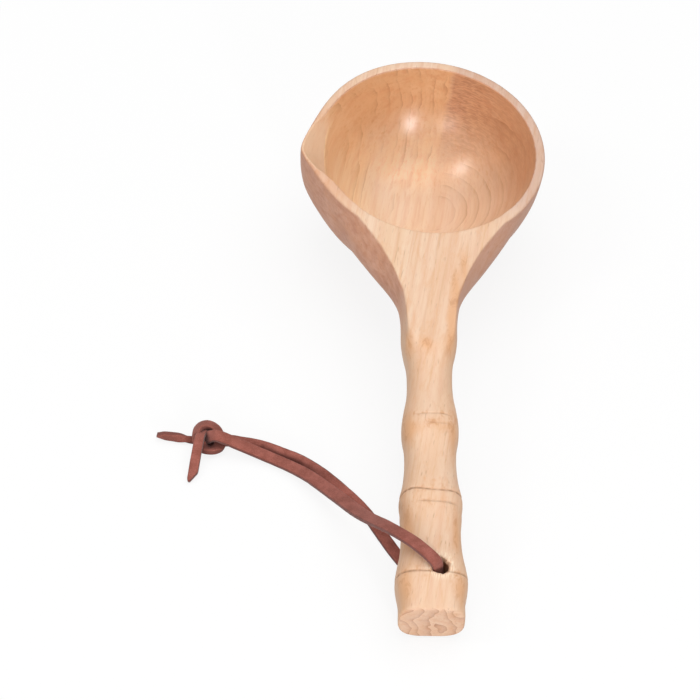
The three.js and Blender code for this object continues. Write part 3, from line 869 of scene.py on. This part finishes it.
class Graph:
    """A node material that is put together from short calls. A value is a socket or a constant."""

    def __init__(self, name):
        self.material = bpy.data.materials.new(name)
        self.material.use_nodes = True
        self.tree = self.material.node_tree
        self.shader = self.tree.nodes["Principled BSDF"]

    def feed(self, socket, value):
        if isinstance(value, bpy.types.NodeSocket):
            self.tree.links.new(value, socket)
        elif value is not None:
            socket.default_value = value

    def add(self, kind, inputs=(), out=0, **settings):
        node = self.tree.nodes.new(kind)
        for name, value in settings.items():
            setattr(node, name, value)
        items = inputs.items() if isinstance(inputs, dict) else enumerate(inputs)
        for key, value in items:
            self.feed(node.inputs[key], value)
        return node.outputs[out]

    def math(self, operation, *values):
        return self.add("ShaderNodeMath", values, operation=operation)

    def times(self, first, *others):
        for value in others:
            first = self.math("MULTIPLY", first, value)
        return first

    def plus(self, first, *others):
        for value in others:
            first = self.math("ADD", first, value)
        return first

    def vector(self, operation, *values):
        return self.add("ShaderNodeVectorMath", values, operation=operation)

    def length(self, value):
        return self.vector("LENGTH", value).node.outputs["Value"]

    def parts(self, value):
        return self.add("ShaderNodeSeparateXYZ", (value,)).node.outputs[:]

    def millimetres(self):
        """Place on the object in millimetres."""
        return self.vector("SCALE", self.add("ShaderNodeTexCoord", out=3), None, None, 1 / MM)

    def noise(self, place, scale, detail, roughness=0.5, distortion=0.0):
        inputs = {"Vector": place, "Scale": scale, "Detail": detail, "Roughness": roughness}
        return self.add("ShaderNodeTexNoise", {**inputs, "Distortion": distortion})

    def span(self, value, low, high, to_low=0.0, to_high=1.0):
        """Soft step from one share at low to another at high."""
        ends = (value, low, high, to_low, to_high)
        return self.add("ShaderNodeMapRange", ends, interpolation_type="SMOOTHSTEP")

    def mix(self, share, first, second, blend="MIX"):
        """Mix of two colours, each a socket or a row of red, green and blue."""
        node = self.tree.nodes.new("ShaderNodeMix")
        node.data_type = "RGBA"
        node.blend_type = blend
        self.feed(node.inputs[0], share)
        self.feed(node.inputs[6], opaque(first))
        self.feed(node.inputs[7], opaque(second))
        return node.outputs[2]

    def mark(self, name):
        return self.add("ShaderNodeAttribute", out=2, attribute_name=name)

    def shade(self, settings):
        """Sets the shader's own sockets by their names."""
        for name, value in settings.items():
            self.feed(self.shader.inputs[name], value)

    def bump(self, height, strength, distance):
        return self.add("ShaderNodeBump", {"Strength": strength, "Distance": distance, "Height": height})


class Wood(Graph):
    """Maple in the ladle's own frame. Its colours and tints are laid over each other."""

    def __init__(self):
        super().__init__("maple")
        lift = Matrix.Rotation(-REST_TILT, 3, "X") @ REST_PLACE
        self.own = self.add("ShaderNodeMapping", (self.millimetres(), -lift, (-REST_TILT, 0, 0)))
        self.grain = self.add("ShaderNodeMapping", (self.own, None, (0, 0, GRAIN_TURN)))
        self.x, self.y, self.z = self.parts(self.own)
        self.bowl = self.mark("bowl")
        self.wall = self.mark("wall")
        self.gloss = self.mark("gloss")
        self.end = self.mark("end")
        self.far = self.span(self.y, 2.0, 36.0, 0.35, 1.0)
        self.tone = self.drawn(0.05, 0.14, 4, 0.6)
        self.vein = self.drawn(0.035, 0.36, 3, 0.55)
        self.fibre = self.drawn(0.06, 2.6, 3, 0.65)
        wander = self.sway(self.noise(self.own, 0.11, 3, 0.6), TONE_WANDER)
        slant = self.plus(self.times(self.y, -TONE_SLANT), self.times(self.z, -TONE_TILT))
        self.across = self.plus(self.x, slant, wander)
        self.right = self.span(self.across, TONE_LINE - TONE_SOFT, TONE_LINE + TONE_SOFT)
        self.colour = self.mix(self.span(self.tone, 0.3, 0.7), WOOD["warm"], WOOD["pale"])

    def lay(self, colour, *shares):
        """Lays a colour over the others, by the product of the shares."""
        self.colour = self.mix(self.times(*shares), self.colour, colour)

    def tint(self, factor, *shares):
        self.colour = self.mix(self.times(*shares), self.colour, factor, "MULTIPLY")

    def stretched(self, *scale):
        return self.add("ShaderNodeMapping", (self.grain, None, None, scale))

    def drawn(self, length, scale, detail, roughness=0.5, distortion=0.0):
        """Noise that is drawn out along the grain."""
        return self.noise(self.stretched(1.0, length, 1.0), scale, detail, roughness, distortion)

    def sway(self, value, width):
        """Noise as a shift to both sides."""
        return self.times(self.math("SUBTRACT", value, 0.5), width)

    def spot(self, centre, size):
        """Soft mask that is 1 at a place on the ladle and fades over a size in millimetres."""
        offset = self.vector("DIVIDE", self.vector("SUBTRACT", self.own, centre), size)
        return self.span(self.length(offset), 1.0, 0.0)

    def by_bowl(self, elsewhere, inside):
        """One share on the bowl's inside and another elsewhere."""
        return self.span(self.bowl, 0, 1, elsewhere, inside)

    def grow(self):
        """Growth rings around a heart far to the left, and arcs in the darker wood of the bowl."""
        warp = self.sway(self.drawn(0.12, 0.07, 3, 0.55), RING_WARP)
        ripple = self.sway(self.noise(self.grain, 0.16, 2), RING_RIPPLE)
        x, _, z = self.parts(self.grain)
        heart = self.add("ShaderNodeCombineXYZ", (self.plus(x, -HEART[0]), 0.0, self.plus(z, -HEART[1])))
        rings = self.plus(self.length(heart), warp, ripple)
        flat = self.add("ShaderNodeCombineXYZ", (self.x, self.y, 0.0))
        radius = self.length(self.vector("SUBTRACT", flat, (*ARC_MIDDLE, 0.0)))
        arcs = self.plus(radius, self.times(ripple, 0.7))
        arched = self.times(self.right, self.bowl)
        rings = self.add("ShaderNodeMix", {0: arched, 2: rings, 3: arcs})
        curve = self.sway(self.noise(self.own, 0.09, 1, 0.4), END_CURVE)
        rings = self.times(self.plus(rings, self.times(self.end, curve)), 1 / RING_STEP)
        self.ring = self.math("FRACT", rings)
        self.late = self.math("POWER", self.ring, 5.0)
        self.fine = self.math("POWER", self.math("FRACT", self.times(rings, 3.0)), 3.0)

        # The rings are seen in patches, but not in the middle of the arcs or close to the tone line
        patches = self.span(self.drawn(0.12, 0.11, 3), 0.4, 0.72)
        patches = self.math("MAXIMUM", patches, self.times(arched, self.spot(*ARC_SPOT)))
        close = self.span(self.across, TONE_LINE + 9.0, TONE_LINE + 1.0)
        plain = self.math("MAXIMUM", self.span(radius, 13.0, 6.0), close)
        self.seen = self.times(patches, self.math("SUBTRACT", 1.0, self.times(arched, plain)))

    def tones(self):
        """Broad tones, pale on the left and pinker on the right, with the lines of the rings."""
        streak = self.drawn(0.03, 0.75, 4, 0.6)
        clear = self.plus(self.by_bowl(0.3, 1.0), self.times(self.end, 0.15))
        self.lay(WOOD["vein"], self.span(self.vein, 0.45, 0.7), 0.7)
        self.lay(WOOD["right"], self.right, 0.3)
        self.lay(WOOD["streak"], self.span(streak, 0.5, 0.75), 0.65)
        self.lay(WOOD["fine_ring"], self.fine, self.seen, clear, 0.2)
        self.lay(WOOD["ring"], self.late, self.seen, clear, 0.65)

    def fibres(self):
        """Fibres, flecks, the curl on the right of the bowl, and mottling."""
        shade = self.mix(self.fibre, WOOD["fibre_dark"], WOOD["fibre_light"])
        self.colour = self.mix(self.by_bowl(0.6, 0.4), self.colour, shade, "OVERLAY")
        fleck = self.span(self.drawn(0.12, 1.5, 1, 0.4), 0.66, 0.78)
        self.lay(WOOD["fleck"], fleck, self.by_bowl(0.4, 0.15))
        curl = self.span(self.noise(self.stretched(0.32, 0.36, 1.9), 0.85, 2, 0.5, 0.6), 0.40, 0.62)
        weaker = self.span(self.across, TONE_LINE + 8.0, TONE_LINE + 26.0, 0.62, 0.2)
        self.lay(WOOD["curl"], curl, self.right, self.wall, weaker)
        mottle = self.span(self.drawn(0.3, 0.3, 4, 0.7, 0.5), 0.45, 0.72)
        self.lay(WOOD["mottle"], mottle, self.by_bowl(0.6, 0.15))

    def stains(self):
        """Torn grain at the nodes, and the stains on the neck and handle."""
        torn = self.span(self.noise(self.stretched(0.9, 0.4, 0.9), 0.4, 4, 0.65, 0.8), 0.48, 0.66)
        uneven = self.span(torn, 0, 1, 0.75, 1)
        self.stain = self.times(torn, self.mark("node"), 0.55)
        for centre, size, share in STAINS:
            self.stain = self.plus(self.stain, self.times(self.spot(centre, size), share, uneven))
        amber = self.mix(torn, WOOD["amber"], WOOD["dark_amber"])
        self.lay(amber, self.math("MINIMUM", self.stain, 0.85))

    def inside_tints(self):
        """Painted light and shade on the lacquered inside: painted light on the floor and the left side,
        and painted shade on the walls of both tones.
        """
        # Share of painted shade on the steep walls, wandering with the wood's tone
        wall = self.times(self.bowl, self.plus(self.wall, self.sway(self.tone, 0.8)))
        wall = self.add("ShaderNodeClamp", (wall, 0.0, 1.0))
        floor = self.math("SUBTRACT", self.bowl, wall)
        # Painted light on the floor of the bowl, stronger towards the far side and a little weaker over the
        # darker wood on the right
        self.tint(self.mix(self.span(self.far, 0.35, 0.75), TINT["near_floor_light"], TINT["far_floor_light"]), floor)
        self.tint(TINT["right_floor_light"], floor, self.right)
        # Painted light on the near left of the bowl's inside
        left = self.span(self.x, -18.0, -36.0)
        self.tint(TINT["left_side_light"], self.bowl, left, self.span(self.y, 40.0, 5.0))
        # Painted shade on the steep walls of the bowl, more on the far side; on the right it also deepens
        # the darker wood
        self.tint(TINT["pale_wall_shade"], wall, self.far, self.math("SUBTRACT", 1.0, self.right))
        self.tint(TINT["right_wall_tone_and_shade"], wall, self.right, self.span(self.y, -30.0, 2.0, 0.45, 1.0))

    def outside_tints(self):
        """Bare lip, rim, flanks, frayed wood, painted shade on the outside of the bowl, painted light and
        rings on the sawn end, painted shade in the cut lines, and the hole.
        """
        self.lay(WOOD["lip"], self.mark("lip"), 0.6)
        rim = self.mix(self.span(self.far, 0.35, 1.0), TINT["near_rim"], TINT["far_rim"])
        self.tint(self.mix(self.right, rim, TINT["right_rim"]), self.mark("rim"))
        self.lay(WOOD["flank"], self.mark("flank"), self.span(self.tone, 0.3, 0.7, 0.45, 0.1))
        self.lay(WOOD["frayed"], self.mark("frayed"), self.span(self.fibre, 0.4, 0.6))
        # Painted shade on the outside of the bowl and neck, with the veins of the grain in it
        outer_shade = self.mix(self.span(self.vein, 0.3, 0.7), TINT["outer_shade"], TINT["outer_vein"])
        self.tint(self.mix(self.right, outer_shade, TINT["right_outer"]), self.mark("outer_shade"))
        # Painted light on the sawn end
        self.tint(TINT["end"], self.end)
        self.tint(TINT["end_band"], self.end, self.ring)
        self.tint(TINT["end_ring"], self.end, self.late)
        # Painted shade in the knife lines
        self.lay(WOOD["cut"], self.mark("cut"), 0.75)
        self.lay(WOOD["hole"], self.mark("hole"), 0.4)

    def surface(self):
        """Dull bare wood and a lacquered bowl, with the relief of fibres, rings, stains and turning."""
        smooth = self.span(self.gloss, 0, 1, 0.48, 0.25)
        rough = self.plus(smooth, self.times(self.fibre, 0.12), self.times(self.end, 0.2))
        rounds = self.add("ShaderNodeMapping", (self.own, None, None, (0.07, 0.07, 1.5)))
        turned = self.times(self.noise(rounds, 1.0, 3, 0.6), self.gloss, 0.9)
        height = self.plus(self.times(self.fibre, 0.5), self.times(self.late, 0.3))
        height = self.plus(height, self.times(self.stain, 0.4), turned)
        self.shade({
            "Base Color": self.colour,
            "Roughness": rough,
            "Normal": self.bump(height, 0.22, 0.0002),
            "Coat Weight": self.times(self.gloss, 0.9),
            "Coat Roughness": 0.26,
            "Coat IOR": 1.55,
        })


def wood_material():
    wood = Wood()
    wood.grow()
    wood.tones()
    wood.fibres()
    wood.stains()
    wood.inside_tints()
    wood.outside_tints()
    wood.surface()
    return wood.material


def leather_material():
    """Suede with a clouded nap, darker at its cut edges, with painted shade in the creases of the knot."""
    g = Graph("suede")
    place = g.millimetres()
    nap = g.noise(place, 2.2, 5, 0.7)
    cloud = g.noise(place, 0.22, 3, 0.6)
    colour = g.mix(g.span(cloud, 0.3, 0.7), LEATHER["dark"], LEATHER["light"])
    colour = g.mix(g.times(g.span(nap, 0.5, 0.72), 0.55), colour, LEATHER["nap_light"])
    colour = g.mix(g.times(g.span(nap, 0.5, 0.28), 0.5), colour, LEATHER["nap_dark"])
    colour = g.mix(g.times(g.span(g.mark("cut_edge"), 0.4, 1.0), 0.65), colour, LEATHER["cut_edge"])
    # Painted shade in the creases, where other leather is close by
    colour = g.mix(g.span(g.mark("crease_shade"), 0.15, 0.75, 0, 0.75), colour, LEATHER["crease_shade"])
    fine = g.noise(place, 6.0, 3, 0.7)
    height = g.plus(g.times(nap, 0.7), g.times(fine, 0.3))
    g.shade({
        "Base Color": colour,
        "Roughness": 0.92,
        "Specular IOR Level": 0.2,
        "Sheen Weight": 0.25,
        "Sheen Roughness": 0.5,
        "Normal": g.bump(height, 0.5, 0.00025),
    })
    return g.material


# Studio

def floor_material():
    """White to the eye, and darker in the light that it throws back on the ladle."""
    g = Graph("floor")
    path = g.tree.nodes.new("ShaderNodeLightPath")
    seen = g.math("MAXIMUM", path.outputs["Is Camera Ray"], path.outputs["Is Glossy Ray"])
    seen = g.math("MAXIMUM", seen, path.outputs["Is Transmission Ray"])
    matt = g.add("ShaderNodeBsdfDiffuse", {"Color": g.mix(seen, FLOOR_BOUNCE, FLOOR_SEEN)})
    white = g.add("ShaderNodeEmission", (opaque(WHITE),))
    reach = g.length(g.add("ShaderNodeTexCoord", out=3))
    glow = g.times(seen, g.span(reach, 0.4, 1.5, 0.85, 1.0))
    both = g.add("ShaderNodeMixShader", (glow, matt, white))
    g.tree.links.new(both, g.tree.nodes["Material Output"].inputs["Surface"])
    g.tree.nodes.remove(g.shader)
    return g.material


def make_floor():
    corners = [(x * FLOOR_HALF, y * FLOOR_HALF, 0) for x, y in ((-1, -1), (1, -1), (1, 1), (-1, 1))]
    floor = new_object("floor", corners, [(0, 1, 2, 3)])
    floor.data.materials.append(floor_material())


def make_world():
    """White behind the ladle, with less light on it than the camera sees."""
    world = bpy.data.worlds.new("studio")
    world.use_nodes = True
    tree = world.node_tree
    back = tree.nodes["Background"]
    path = tree.nodes.new("ShaderNodeLightPath")
    strength = tree.nodes.new("ShaderNodeMapRange")
    strength.inputs["To Min"].default_value = WORLD_LIGHT
    tree.links.new(path.outputs["Is Camera Ray"], strength.inputs["Value"])
    tree.links.new(strength.outputs[0], back.inputs["Strength"])
    back.inputs["Color"].default_value = opaque(WHITE)
    bpy.context.scene.world = world


def area_light(name, place, target, size, power):
    data = bpy.data.lights.new(name, "AREA")
    data.shape = "RECTANGLE"
    data.size, data.size_y = size
    data.energy = power
    light = bpy.data.objects.new(name, data)
    light.location = place
    light.rotation_euler = (Vector(target) - Vector(place)).to_track_quat("-Z", "Y").to_euler()
    bpy.context.collection.objects.link(light)


def make_studio():
    make_floor()
    make_world()
    for lamp in LAMPS:
        area_light(*lamp)


clear_scene()
bpy.context.scene.view_settings.view_transform = "Standard"
make_camera()
make_thong()
make_body()
make_studio()
